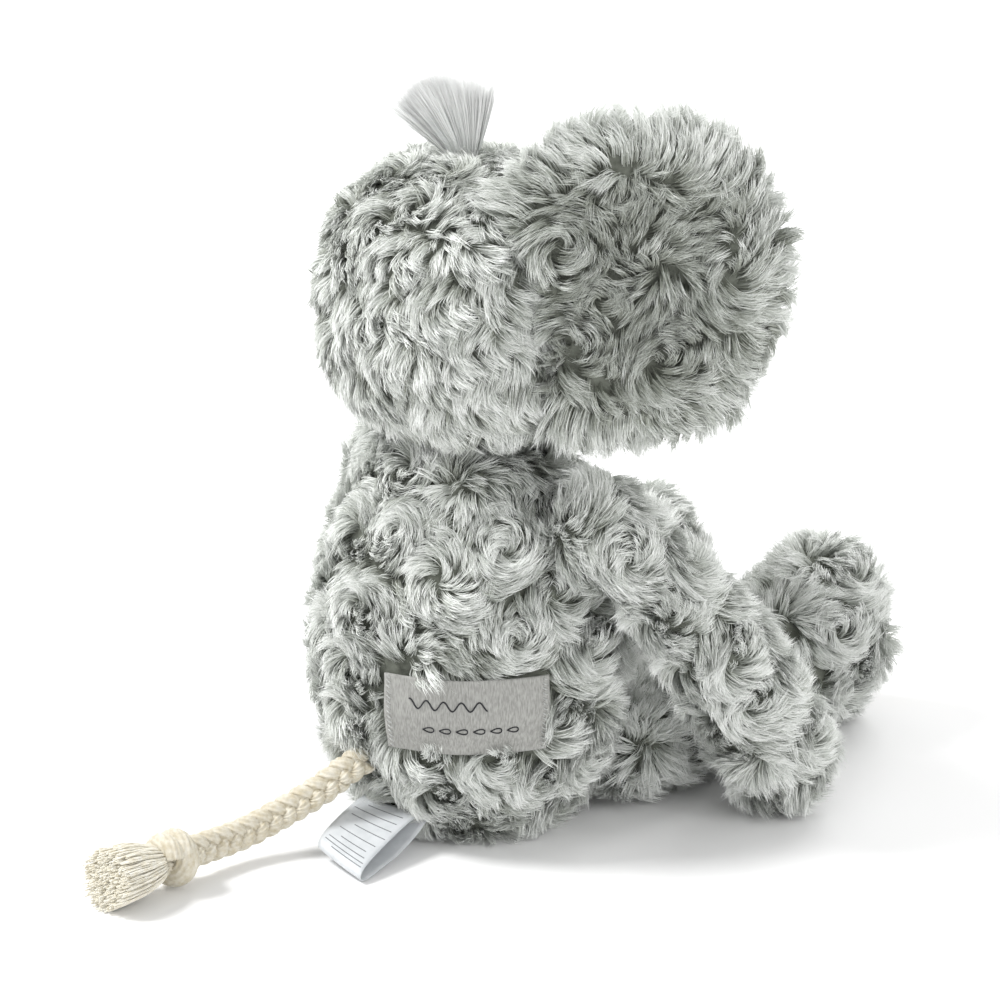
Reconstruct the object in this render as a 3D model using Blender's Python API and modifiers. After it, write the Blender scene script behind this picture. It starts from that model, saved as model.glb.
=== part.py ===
"""Stuffed monkey sitting with its legs forward.

Metres, +Z up. The monkey faces -Y and its own right side is -X. The origin is the
centre of the flat base under the torso, on the floor. Each plush skin is drawn at
the middle of its pile.
"""
import math

import bmesh
import bpy
from mathutils import Matrix, Vector

MM = 0.001
GAP = 0.35                      # clearance between neighbouring pieces, mm
SKIN = 2.5                      # plush backing and the lower half of its pile, mm

# Torso: radius of the skin at each height, from the neck opening down to the base.
TORSO_PROFILE = (
    (24.0, 138.0), (28.5, 137.2), (32.5, 133.5), (35.0, 128.5), (37.8, 121.0), (42.5, 114.0),
    (46.3, 106.0), (50.4, 92.0), (53.0, 76.0), (54.0, 62.0), (53.4, 48.0), (50.0, 34.0),
    (44.5, 20.0), (38.0, 8.0), (33.0, 2.2), (27.0, 0.0), (0.0, 0.0))
TORSO_STEPS = 32
PELLET_RADIUS = 30.0
PELLET_TOP = 21.0

# Head: a rounded cube, semi-axes and exponent.
HEAD_CENTRE = Vector((0.0, 0.0, 188.0))
HEAD_AXES = Vector((47.8, 47.6, 48.5))
HEAD_POWER = 2.5
NECK_PIVOT = Vector((0.0, 0.0, 138.5))
NECK_RADIUS = 20.0
NECK_OPENING = 24.5

# Ears: thick discs that fold about a sewn roll at the side of the head. The right one
# stands out and sweeps forward; the left one has flopped forward along the cheek.
# side: roll position, sweep and droop in degrees, disc centre out from the roll, axes.
EAR_ROOT_RADIUS = 2.4
EARS = {
    "right": (-1.0, Vector((50.7, 4.2, 201.5)), 50.0, 0.0, 18.5, Vector((52.0, 9.5, 54.0))),
    "left": (1.0, Vector((50.7, -3.0, 192.5)), 96.0, -24.0, 28.0, Vector((43.5, 8.5, 42.5))),
}
EAR_ROOT_HALF = 18.0
LINING_SHARE = 0.62

# Arms: shoulder, bow and paw end of each centre line. The left shoulder has slumped forward.
ARMS = {
    "right": (Vector((-55.0, -1.0, 117.0)), Vector((-87.5, -22.0, 89.0)), Vector((-84.2, -68.0, 21.5))),
    "left": (Vector((49.5, -19.5, 116.0)), Vector((85.0, -32.0, 88.0)), Vector((84.2, -68.0, 21.5))),
}
ARM_BALL = 16.5
ARM_WAIST = 12.6
PAW_RADIUS = 17.8

# Legs lie forward from the hips.
HIP = Vector((34.0, -45.0, 21.5))
FOOT = Vector((41.3, -147.0, 35.3))
LEG_RADIUS = 20.5
SOLE_Y = -165.6

# Tail: points of the rope's centre line, from the seam to the knot.
TAIL_ROOT = Vector((7.6, 53.0, 29.5))
TAIL_ROOT_RADIUS = 5.5
ROPE_RADIUS = 5.4
ROPE_POINTS = (
    (10.3, 57.4, 26.1), (14.2, 64.3, 21.2), (21.2, 75.4, 14.6), (26.2, 89.5, 10.2),
    (28.2, 103.0, 9.6), (28.2, 113.4, 10.2))
KNOT_CENTRE = Vector((28.2, 121.4, 11.0))
KNOT_AXES = Vector((10.4, 7.4, 10.4))
TASSEL_START = Vector((28.8, 129.6, 9.6))
TASSEL_END = Vector((32.6, 149.5, 10.8))

# Woven patch on the back, and the satin care label at the base seam.
PATCH_AZIMUTH = math.radians(39.5)
PATCH_SIZE = (58.0, 28.0)
PATCH_Z = 55.5
PATCH_THICKNESS = 1.0
LABEL_ROOT = Vector((-0.6, 42.2, 12.4))
LABEL_TIP = Vector((-4.2, 74.5, 3.4))
LABEL_WIDTH = 24.0
LABEL_THICKNESS = 0.9

EYE_X = 15.5
EYE_Z = 197.0
EYE_RADIUS = 5.0
SHANK_RADIUS = 1.8
MUZZLE_CENTRE = Vector((0.0, -49.6, 174.0))
MUZZLE_AXES = Vector((23.0, 14.5, 16.0))
NOSE_CENTRE = Vector((0.0, -63.6, 180.5))
NOSE_AXES = Vector((7.0, 4.0, 5.0))
THREAD_RADIUS = 0.7

MATERIALS = {
    "plush_grey": ((0.56, 0.58, 0.53, 1.0), 0.95),
    "plush_ivory": ((0.86, 0.83, 0.76, 1.0), 0.95),
    "stuffing_white": ((0.92, 0.92, 0.90, 1.0), 0.95),
    "pellet_cloth": ((0.80, 0.80, 0.77, 1.0), 0.90),
    "hair_white": ((0.80, 0.82, 0.80, 1.0), 0.85),
    "cotton_rope": ((0.80, 0.76, 0.66, 1.0), 0.90),
    "twill_grey": ((0.56, 0.57, 0.55, 1.0), 0.90),
    "thread_grey": ((0.42, 0.43, 0.41, 1.0), 0.90),
    "thread_dark": ((0.10, 0.09, 0.08, 1.0), 0.80),
    "satin_white": ((0.86, 0.87, 0.88, 1.0), 0.45),
    "eye_black": ((0.01, 0.01, 0.01, 1.0), 0.10),
    "washer_white": ((0.85, 0.85, 0.83, 1.0), 0.50),
}


def clear_scene():
    for ob in list(bpy.data.objects):
        bpy.data.objects.remove(ob, do_unlink=True)


def make_collection(name):
    coll = bpy.data.collections.new(name)
    bpy.context.scene.collection.children.link(coll)
    return coll


def make_material(slot):
    colour, roughness = MATERIALS[slot]
    mat = bpy.data.materials.new(slot)
    mat.use_nodes = True
    shader = mat.node_tree.nodes["Principled BSDF"]
    shader.inputs["Base Color"].default_value = colour
    shader.inputs["Roughness"].default_value = roughness
    mat.diffuse_color = colour
    return mat


clear_scene()
PARTS = make_collection("stuffed_monkey")
CUTTERS = make_collection("cutters")
SLOTS = {slot: make_material(slot) for slot in MATERIALS}


def add_object(name, mesh, slot):
    """Link a mesh as a part, or as a hidden cutter when it has no material slot."""
    ob = bpy.data.objects.new(name, mesh)
    if slot is None:
        CUTTERS.objects.link(ob)
        ob.hide_render = True
        ob.display_type = "WIRE"
    else:
        PARTS.objects.link(ob)
        mesh.materials.append(SLOTS[slot])
    return ob


def from_bmesh(name, bm, slot, smooth=True):
    bmesh.ops.recalc_face_normals(bm, faces=bm.faces)
    if bm.calc_volume(signed=True) < 0.0:
        bmesh.ops.reverse_faces(bm, faces=bm.faces)
    for face in bm.faces:
        face.smooth = smooth
    mesh = bpy.data.meshes.new(name)
    bm.to_mesh(mesh)
    bm.free()
    return add_object(name, mesh, slot)


def thicken(ob, depth):
    """Turn a closed or open surface into a shell that goes inwards."""
    mod = ob.modifiers.new("cloth", "SOLIDIFY")
    mod.thickness = depth * MM
    mod.offset = -1.0
    mod.use_even_offset = True
    return ob


def combine(ob, cutter, operation="DIFFERENCE"):
    mod = ob.modifiers.new(operation.lower(), "BOOLEAN")
    mod.operation = operation
    mod.solver = "EXACT"
    mod.object = cutter
    return ob


def lathe(name, profile, steps, slot, location=(0.0, 0.0, 0.0), rotation=None, ring=False):
    """Turn a profile of (radius, height) in mm about the object's Z axis."""
    mesh = bpy.data.meshes.new(name)
    verts = [(r * MM, 0.0, z * MM) for r, z in profile]
    edges = [(i, i + 1) for i in range(len(profile) - 1)]
    if ring:
        edges.append((len(profile) - 1, 0))
    mesh.from_pydata(verts, edges, [])
    ob = add_object(name, mesh, slot)
    ob.location = Vector(location) * MM
    if rotation is not None:
        ob.rotation_euler = rotation
    mod = ob.modifiers.new("turn", "SCREW")
    mod.axis = "Z"
    mod.angle = 2.0 * math.pi
    mod.steps = steps
    mod.render_steps = steps
    mod.use_merge_vertices = True
    mod.merge_threshold = 0.00002
    mod.use_smooth_shade = True
    return ob


def super_point(direction, axes, power):
    """Point where a ray from the centre meets a rounded cube."""
    total = sum(abs(direction[i] / axes[i]) ** power for i in range(3))
    return direction * total ** (-1.0 / power)


def rounded(name, centre, axes, slot, segments=24, rings=14, power=2.0):
    """Ellipsoid or rounded cube from a UV sphere."""
    bm = bmesh.new()
    bmesh.ops.create_uvsphere(bm, u_segments=segments, v_segments=rings, radius=1.0)
    for vert in bm.verts:
        vert.co = (super_point(vert.co.copy(), axes, power) + centre) * MM
    return from_bmesh(name, bm, slot)


def grown(axes, amount):
    return Vector((axes.x + amount, axes.y + amount, axes.z + amount))


def prism(name, centre, radii, low, high, turn, slot=None, segments=32):
    """Elliptic cylinder along local Z from low to high, turned by a matrix."""
    bm = bmesh.new()
    bmesh.ops.create_cone(
        bm, cap_ends=True, segments=segments, radius1=1.0, radius2=1.0, depth=1.0)
    for vert in bm.verts:
        local = Vector((
            vert.co.x * radii[0], vert.co.y * radii[1],
            low + (vert.co.z + 0.5) * (high - low)))
        vert.co = (turn @ local + centre) * MM
    return from_bmesh(name, bm, slot, smooth=False)


def box(name, low, high, slot=None, turn=None, centre=None):
    bm = bmesh.new()
    bmesh.ops.create_cube(bm, size=1.0)
    for vert in bm.verts:
        local = Vector([
            low[i] + (vert.co[i] + 0.5) * (high[i] - low[i]) for i in range(3)])
        if turn is not None:
            local = turn @ local + centre
        vert.co = local * MM
    return from_bmesh(name, bm, slot, smooth=False)


def loft(name, stations, segments, slot, close_start=True, close_end=True):
    """Skin a row of ellipses: each station is (centre, side, up, side radius, up radius)."""
    bm = bmesh.new()
    rings = []
    for centre, side, up, r_side, r_up in stations:
        ring = []
        for i in range(segments):
            angle = 2.0 * math.pi * i / segments
            offset = side * (r_side * math.cos(angle)) + up * (r_up * math.sin(angle))
            ring.append(bm.verts.new((centre + offset) * MM))
        rings.append(ring)
    for a, b in zip(rings[:-1], rings[1:]):
        for i in range(segments):
            j = (i + 1) % segments
            bm.faces.new((a[i], a[j], b[j], b[i]))
    if close_start:
        bm.faces.new(rings[0][::-1])
    if close_end:
        bm.faces.new(rings[-1])
    return from_bmesh(name, bm, slot)


def bezier(p0, p1, p2, t):
    return p0 * (1.0 - t) ** 2 + p1 * (2.0 * t * (1.0 - t)) + p2 * t ** 2


def bezier_tangent(p0, p1, p2, t):
    return ((p1 - p0) * (1.0 - t) + (p2 - p1) * t).normalized()


def mirrored(point, side):
    return Vector((point.x * side, point.y, point.z))


def tube(name, points, radius, slot, resolution=2):
    """Round cord along points, with filled ends."""
    curve = bpy.data.curves.new(name, "CURVE")
    curve.dimensions = "3D"
    curve.bevel_depth = radius * MM
    curve.bevel_resolution = resolution
    curve.use_fill_caps = True
    spline = curve.splines.new("POLY")
    spline.points.add(len(points) - 1)
    for slot_point, point in zip(spline.points, points):
        slot_point.co = (point.x * MM, point.y * MM, point.z * MM, 1.0)
    ob = bpy.data.objects.new(name, curve)
    PARTS.objects.link(ob)
    curve.materials.append(SLOTS[slot])
    weld = ob.modifiers.new("weld", "WELD")
    weld.merge_threshold = 0.00001
    return ob


def smooth_path(points, per_span):
    """Catmull-Rom curve through the points."""
    ends = [points[0] * 2.0 - points[1]] + list(points) + [points[-1] * 2.0 - points[-2]]
    path = []
    for i in range(1, len(ends) - 2):
        a, b, c, d = ends[i - 1:i + 3]
        for k in range(per_span):
            t = k / per_span
            path.append(0.5 * (
                b * 2.0 + (c - a) * t + (a * 2.0 - b * 5.0 + c * 4.0 - d) * t ** 2
                + (b * 3.0 - a - c * 3.0 + d) * t ** 3))
    path.append(points[-1].copy())
    return path


def hang_on_axis(name, pivot, children):
    """Parent a moving body's pieces to an empty standing on its joint axis."""
    axis = bpy.data.objects.new(name, None)
    axis.empty_display_size = 0.01
    axis.location = pivot * MM
    PARTS.objects.link(axis)
    for child in children:
        child.parent = axis
        child.matrix_parent_inverse = Matrix.Translation(-(pivot * MM))
    return axis


def torso_inner(inset):
    """The torso profile moved inwards along its normals."""
    rows = []
    for before, here, after in zip(TORSO_PROFILE, TORSO_PROFILE[1:], TORSO_PROFILE[2:]):
        run = math.hypot(after[0] - before[0], after[1] - before[1])
        out_r = (before[1] - after[1]) / run
        out_z = (after[0] - before[0]) / run
        rows.append((here[0] - out_r * inset, here[1] - out_z * inset))
    return rows


# ---------------------------------------------------------------- cutters
shoulder_cutters = {}
hip_cutters = {}
for side, label in ((-1.0, "right"), (1.0, "left")):
    shoulder_cutters[label] = rounded(
        "cut_shoulder_" + label, ARMS[label][0], Vector((1, 1, 1)) * (ARM_BALL + GAP + 0.2),
        None, 24, 14)
    hip_cutters[label] = rounded(
        "cut_hip_" + label, mirrored(HIP, side), Vector((1, 1, 1)) * (LEG_RADIUS + GAP + 0.25),
        None, 24, 14)
neck_cup = rounded(
    "cut_neck_cup", NECK_PIVOT, Vector((1, 1, 1)) * (NECK_RADIUS + GAP + 0.25), None, 24, 14)
neck_hole = prism(
    "cut_neck_hole", Vector((0, 0, 0)), (NECK_OPENING, NECK_OPENING), 126.0, 154.0,
    Matrix.Identity(3), None, 40)
head_solid = rounded(
    "cut_head", HEAD_CENTRE, grown(HEAD_AXES, SKIN + GAP * 2), None, 30, 20, HEAD_POWER)

# ---------------------------------------------------------------- torso
torso_skin = lathe("torso_skin", TORSO_PROFILE, TORSO_STEPS, "plush_grey")
thicken(torso_skin, SKIN)
for label in ("right", "left"):
    combine(torso_skin, shoulder_cutters[label])
    combine(torso_skin, hip_cutters[label])

pellet_bag = lathe("pellet_bag", (
    (0.0, PELLET_TOP), (PELLET_RADIUS - 8.0, PELLET_TOP), (PELLET_RADIUS - 2.5, PELLET_TOP - 2.0),
    (PELLET_RADIUS, PELLET_TOP - 7.0), (PELLET_RADIUS, 9.0), (PELLET_RADIUS - 2.5, 4.5),
    (PELLET_RADIUS - 8.0, SKIN + GAP), (0.0, SKIN + GAP)), 28, "pellet_cloth")

stuffing_base = PELLET_TOP + GAP + 0.1
stuffing_rows = [row for row in torso_inner(SKIN + GAP + 0.25) if row[1] > stuffing_base + 4.0]
torso_stuffing = lathe(
    "torso_stuffing",
    [(0.0, stuffing_rows[0][1])] + stuffing_rows + [(40.5, stuffing_base), (0.0, stuffing_base)],
    TORSO_STEPS, "stuffing_white")
combine(torso_stuffing, neck_cup)
for label in ("right", "left"):
    combine(torso_stuffing, shoulder_cutters[label])
    combine(torso_stuffing, hip_cutters[label])

# ---------------------------------------------------------------- neck
neck_core = rounded(
    "neck_core", NECK_PIVOT, Vector((1, 1, 1)) * NECK_RADIUS, "stuffing_white", 20, 12)

# ---------------------------------------------------------------- head
head_skin = rounded("head_skin", HEAD_CENTRE, HEAD_AXES, "plush_grey", 30, 20, HEAD_POWER)
thicken(head_skin, SKIN)
combine(head_skin, neck_hole)

head_stuffing = rounded(
    "head_stuffing", HEAD_CENTRE, grown(HEAD_AXES, -(SKIN + GAP + 0.35)), "stuffing_white",
    28, 18, HEAD_POWER)
combine(head_stuffing, neck_cup)

face_window = prism(
    "cut_face_window", Vector((0.0, 0.0, 183.0)), (36.0, 35.0), 12.0, 70.0,
    Matrix.Rotation(math.radians(90.0), 3, "X"), None, 36)
face_panel = rounded(
    "face_panel", HEAD_CENTRE, grown(HEAD_AXES, GAP + 2.0), "plush_ivory", 30, 20, HEAD_POWER)
thicken(face_panel, 2.0)
combine(face_panel, face_window, "INTERSECT")

muzzle = rounded("muzzle", MUZZLE_CENTRE, MUZZLE_AXES, "plush_ivory", 24, 12)
combine(muzzle, head_solid)
nose = rounded("nose", NOSE_CENTRE, NOSE_AXES, "thread_dark", 14, 8)
muzzle_solid = rounded(
    "cut_muzzle", MUZZLE_CENTRE, grown(MUZZLE_AXES, GAP), None, 24, 12)
combine(nose, muzzle_solid)

mouth_path = []
for step in range(-6, 7):
    across = step * 1.4
    drop = 166.0 + 0.045 * across ** 2
    axes = grown(MUZZLE_AXES, THREAD_RADIUS + GAP + 0.1)
    level = (across / axes.x) ** 2 + ((drop - MUZZLE_CENTRE.z) / axes.z) ** 2
    depth = axes.y * math.sqrt(1.0 - level)
    mouth_path.append(Vector((across, MUZZLE_CENTRE.y - depth, drop)))
mouth_thread = tube("mouth_thread", mouth_path, THREAD_RADIUS, "thread_dark")

head_parts = [head_skin, head_stuffing, face_panel, muzzle, nose, mouth_thread]
outer = grown(HEAD_AXES, GAP + 2.0)
for side, label in ((-1.0, "right"), (1.0, "left")):
    level = (EYE_X / outer.x) ** HEAD_POWER + ((EYE_Z - HEAD_CENTRE.z) / outer.z) ** HEAD_POWER
    seat = Vector((side * EYE_X, -outer.y * (1.0 - level) ** (1.0 / HEAD_POWER), EYE_Z))
    local = seat - HEAD_CENTRE
    normal = Vector([
        math.copysign(abs(local[i] / outer[i]) ** (HEAD_POWER - 1.0) / outer[i], local[i])
        for i in range(3)]).normalized()
    spin = normal.to_track_quat("Z", "Y")
    back = -(2.0 + GAP + SKIN)
    eye = lathe("eye_" + label, (
        (0.0, 3.9), (1.8, 3.6), (3.5, 2.7), (4.6, 1.6), (EYE_RADIUS, 0.75), (4.4, 0.45),
        (SHANK_RADIUS, 0.45), (SHANK_RADIUS, back - 4.5), (0.0, back - 4.5)),
        16, "eye_black", seat, spin.to_euler())
    washer = lathe("eye_washer_" + label, (
        (6.0, back - 1.0), (6.0, back - 2.2), (SHANK_RADIUS + GAP, back - 2.2),
        (SHANK_RADIUS + GAP, back - 1.0)),
        16, "washer_white", seat, spin.to_euler(), ring=True)
    hole = prism(
        "cut_eye_hole_" + label, seat, (SHANK_RADIUS + GAP, SHANK_RADIUS + GAP), back - 2.0, 6.0,
        spin.to_matrix(), None, 20)
    pocket = prism(
        "cut_eye_pocket_" + label, seat, (6.9, 6.9), back - 5.7, back + 2.3,
        spin.to_matrix(), None, 18)
    combine(head_skin, hole)
    combine(face_panel, hole)
    combine(head_stuffing, pocket)
    head_parts += [eye, washer]

# Fan of long straight hair sewn into the crown, leaning back and to the monkey's left.
HAIR_ROOT = Vector((0.0, 0.0, 237.0))
hair_tuft = loft("hair_tuft", [
    (HAIR_ROOT + Vector((lean * 0.76, lean * 0.65, height)), Vector((0.76, 0.65, 0)),
     Vector((-0.65, 0.76, 0)), wide, thick)
    for height, lean, wide, thick in (
        (0.0, 0.0, 3.4, 2.6), (6.0, 1.2, 5.2, 3.4), (12.0, 3.0, 8.5, 4.2), (18.0, 5.0, 12.0, 4.6),
        (24.0, 7.0, 14.5, 4.2), (28.5, 8.0, 12.5, 3.0))], 16, "hair_white")
head_parts.append(hair_tuft)

# ---------------------------------------------------------------- ears
head_room = rounded(
    "cut_ear_head", HEAD_CENTRE, grown(HEAD_AXES, 4.0), None, 30, 20, HEAD_POWER)
for label, (side, roll, sweep, droop, reach, axes) in EARS.items():
    hinge = mirrored(roll, side)
    root = lathe("ear_root_" + label, (
        (0.0, EAR_ROOT_HALF), (1.6, EAR_ROOT_HALF - 0.6), (EAR_ROOT_RADIUS, EAR_ROOT_HALF - 2.2),
        (EAR_ROOT_RADIUS, 2.2 - EAR_ROOT_HALF), (1.6, 0.6 - EAR_ROOT_HALF), (0.0, -EAR_ROOT_HALF)),
        14, "plush_grey", hinge)
    head_parts.append(root)
    groove = prism(
        "cut_ear_groove_" + label, hinge, (EAR_ROOT_RADIUS + GAP, EAR_ROOT_RADIUS + GAP),
        -EAR_ROOT_HALF - 1.0, EAR_ROOT_HALF + 1.0, Matrix.Identity(3), None, 18)
    # Local X runs from the roll to the rim, local Y points to the back, local Z up.
    swing = math.radians(sweep)
    out = Vector((side * math.cos(swing), -math.sin(swing), 0.0))
    rear = Vector((side * math.sin(swing), math.cos(swing), 0.0))
    tip = math.radians(droop)
    rim = out * math.cos(tip) + Vector((0.0, 0.0, math.sin(tip)))
    rise = Vector((0.0, 0.0, math.cos(tip))) - out * math.sin(tip)
    turn = Matrix((rim, rear, rise)).transposed()
    centre = hinge + rim * reach
    ear = rounded("ear_back_" + label, Vector((0, 0, 0)), axes, "plush_grey", 28, 10, 2.2)
    for vert in ear.data.vertices:
        vert.co = turn @ vert.co + centre * MM
    if turn.determinant() < 0.0:
        ear.data.flip_normals()
    facing = turn @ Matrix.Rotation(math.radians(90.0), 3, "X")
    middle = hinge + rim * (reach + 4.0)
    radii = (axes.x * LINING_SHARE, axes.z * LINING_SHARE)
    pocket = prism("cut_ear_pocket_" + label, middle, radii, 4.6, 30.0, facing, None, 28)
    combine(ear, pocket)
    combine(ear, head_room)
    combine(ear, groove)
    lining = prism(
        "ear_lining_" + label, middle, (radii[0] - GAP - 0.1, radii[1] - GAP - 0.1),
        4.6 + GAP, 7.6, facing, "plush_ivory", 28)
    combine(lining, head_room)
    combine(lining, groove)
    hang_on_axis("axis_ear_" + label, hinge, [ear, lining])

# ---------------------------------------------------------------- arms
ARM_STATIONS = 9
for label, (p0, p1, p2) in ARMS.items():

    def arm_rings(inset, mouth):
        """Ball at the shoulder, narrower upper arm, round paw end."""
        across = Vector((1.0, 0.0, 0.0))
        rings = []
        start = bezier_tangent(p0, p1, p2, 0.0)
        up = start.cross(across).normalized()
        ball = ARM_BALL - inset
        for angle in (mouth, 55.0, 72.0, 90.0, 106.0):
            a = math.radians(angle)
            r = ball * math.sin(a)
            rings.append((p0 - start * (ball * math.cos(a)), start.cross(up), up, r, r))
        for i in range(2, ARM_STATIONS + 1):
            t = i / ARM_STATIONS
            here = bezier_tangent(p0, p1, p2, t)
            up = here.cross(across).normalized()
            blend = min(1.0, max(0.0, (t - 0.15) / 0.6))
            r = ARM_WAIST + (PAW_RADIUS - ARM_WAIST) * blend ** 0.8 - inset
            rings.append((bezier(p0, p1, p2, t), here.cross(up), up, r, r))
        here = bezier_tangent(p0, p1, p2, 1.0)
        tip = PAW_RADIUS - inset
        for angle in (25.0, 48.0, 68.0, 82.0):
            a = math.radians(angle)
            r = tip * math.cos(a)
            rings.append((p2 + here * (tip * math.sin(a)), here.cross(up), up, r, r))
        return rings

    skin = loft("arm_skin_" + label, arm_rings(0.0, 36.0), 16, "plush_grey", close_start=False)
    thicken(skin, SKIN)
    filling = loft("arm_stuffing_" + label, arm_rings(SKIN + GAP + 0.3, 25.0), 16, "stuffing_white")
    hang_on_axis("axis_shoulder_" + label, p0, [skin, filling])

# ---------------------------------------------------------------- legs
# Rows of (y, centre height, half width, half height) from the hip to the flat sole.
LEG_ROWS = (
    (-58.0, 21.5, 20.3, 20.3), (-74.0, 21.5, 20.0, 20.3), (-90.0, 21.5, 20.0, 20.3),
    (-104.0, 22.0, 20.3, 21.0), (-116.0, 24.6, 21.3, 24.0), (-125.0, 29.0, 22.4, 28.4),
    (-134.0, 33.2, 23.4, 32.6), (-144.0, 35.2, 23.8, 34.3), (-153.0, 35.3, 23.4, 34.0),
    (-160.0, 35.3, 21.8, 32.2), (-164.0, 35.3, 19.6, 29.4), (-165.2, 35.3, 17.6, 27.0))
for side, label in ((-1.0, "right"), (1.0, "left")):
    hip = mirrored(HIP, side)
    foot_x = mirrored(FOOT, side).x

    def leg_rings(inset, mouth):
        """Ball at the hip, straight thigh and shin, upright foot with a flat sole."""
        across = Vector((1.0, 0.0, 0.0))
        rise = Vector((0.0, 0.0, 1.0))
        rings = []
        ball = LEG_RADIUS - inset
        for angle in (mouth, 48.0, 66.0, 90.0):
            a = math.radians(angle)
            r = ball * math.sin(a)
            rings.append((hip + Vector((0.0, ball * math.cos(a), 0.0)), across, rise, r, r))
        for y, z, wide, tall in LEG_ROWS:
            share = (y - hip.y) / (FOOT.y - hip.y)
            x = hip.x + (foot_x - hip.x) * share
            if inset and y < SOLE_Y + 8.0:
                continue
            rings.append((Vector((x, y, z)), across, rise, wide - inset, tall - inset))
        if inset:
            rings.append((Vector((foot_x, SOLE_Y + inset + 1.0, FOOT.z)), across, rise, 15.0, 24.0))
        return rings

    skin = loft("leg_skin_" + label, leg_rings(0.0, 30.0), 18, "plush_grey", close_start=False)
    thicken(skin, SKIN)
    filling = loft("leg_stuffing_" + label, leg_rings(SKIN + GAP + 1.3, 22.0), 18, "stuffing_white")
    sole = prism(
        "sole_" + label, Vector((foot_x, SOLE_Y, FOOT.z)), (16.5, 25.5), 0.0, 2.2,
        Matrix.Rotation(math.radians(90.0), 3, "X"), "plush_ivory", 24)
    soften = sole.modifiers.new("soften", "BEVEL")
    soften.width = 0.8 * MM
    soften.segments = 1
    soften.limit_method = "ANGLE"
    hang_on_axis("axis_hip_" + label, hip, [skin, filling, sole])

# ---------------------------------------------------------------- tail
torso_room = lathe(
    "cut_torso", [(0.0, 140.0)] + [(r + GAP, z) for r, z in TORSO_PROFILE[1:-1]] + [(0.0, -1.0)],
    TORSO_STEPS, None)
tail_root = rounded(
    "tail_root", TAIL_ROOT, Vector((1, 1, 1)) * TAIL_ROOT_RADIUS, "cotton_rope", 16, 10)
combine(tail_root, torso_room)
rope_path = smooth_path([Vector(p) for p in ROPE_POINTS], 2)
tail_rope = tube("tail_rope", rope_path, ROPE_RADIUS, "cotton_rope", 3)
tail_knot = rounded("tail_knot", KNOT_CENTRE, KNOT_AXES, "cotton_rope", 16, 10, 2.3)
along = (TASSEL_END - TASSEL_START).normalized()
flat = Vector((0.0, 0.0, 1.0)).cross(along).normalized()
upward = along.cross(flat)
tail_tassel = loft("tail_tassel", [
    (TASSEL_START + (TASSEL_END - TASSEL_START) * t, flat, upward, wide, tall)
    for t, wide, tall in ((0.0, 4.6, 4.6), (0.15, 5.8, 5.4), (0.5, 8.6, 7.6), (0.85, 11.2, 9.2),
                          (1.0, 12.0, 9.8))], 18, "cotton_rope")
hang_on_axis("axis_tail", TAIL_ROOT, [tail_rope, tail_knot, tail_tassel])

# ---------------------------------------------------------------- patch and label
patch_dir = Vector((-math.sin(PATCH_AZIMUTH), math.cos(PATCH_AZIMUTH), 0.0))
patch_side = Vector((math.cos(PATCH_AZIMUTH), math.sin(PATCH_AZIMUTH), 0.0))
patch_turn = Matrix((patch_side, patch_dir, Vector((0, 0, 1)))).transposed()
patch_at = Vector((0.0, 0.0, PATCH_Z))


def patch_layer(name, lift, depth, slot):
    """A band of the torso's surface, lifted off the skin."""
    layer = lathe(
        name, [(r + lift + depth, z) for r, z in TORSO_PROFILE[6:13]], TORSO_STEPS * 2, slot)
    return thicken(layer, depth)


half_w = PATCH_SIZE[0] / 2.0
half_h = PATCH_SIZE[1] / 2.0
back_patch = patch_layer("back_patch", GAP + 0.35, PATCH_THICKNESS, "twill_grey")
combine(back_patch, box(
    "cut_patch", (-half_w, 10.0, -half_h), (half_w, 80.0, half_h), None, patch_turn, patch_at),
    "INTERSECT")
for sign, label in ((-1.0, "right"), (1.0, "left")):
    stitch = patch_layer("patch_stitch_" + label, GAP + 0.7 + PATCH_THICKNESS, 0.7, "thread_grey")
    x0 = sign * (half_w - 2.0)
    combine(stitch, box(
        "cut_stitch_" + label, (x0 - 0.5, 10.0, 1.0 - half_h), (x0 + 0.5, 80.0, half_h - 1.0),
        None, patch_turn, patch_at), "INTERSECT")

run = LABEL_TIP - LABEL_ROOT
across = Vector((run.y, -run.x, 0.0)).normalized()
label_rows = []
for t, lift in ((0.0, 0.0), (0.2, 0.2), (0.45, -0.4), (0.7, -1.6), (0.88, -1.2), (1.0, 0.0)):
    at = LABEL_ROOT + run * t + Vector((0.0, 0.0, lift))
    label_rows.append((
        at, across, Vector((0.0, 0.0, 1.0)), LABEL_WIDTH / 2.0, LABEL_THICKNESS / 2.0))
bm = bmesh.new()
rows = []
for at, side_dir, up, half, thick in label_rows:
    rows.append([
        bm.verts.new((at + side_dir * sx * half + up * sz * thick) * MM)
        for sx, sz in ((-1, -1), (1, -1), (1, 1), (-1, 1))])
for a, b in zip(rows[:-1], rows[1:]):
    for i in range(4):
        j = (i + 1) % 4
        bm.faces.new((a[i], a[j], b[j], b[i]))
bm.faces.new(rows[0][::-1])
bm.faces.new(rows[-1])
care_label = from_bmesh("care_label", bm, "satin_white", smooth=False)

hang_on_axis("axis_neck", NECK_PIVOT, head_parts)
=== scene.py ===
"""Looks of the stuffed monkey: rosette plush, rope tail, patch, label and face.

Metres, +Z up. The monkey faces -Y and its own right side is -X, as in the CAD model.
"""
import math

import bpy
import numpy as np
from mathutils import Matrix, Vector
from mathutils.bvhtree import BVHTree


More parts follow.
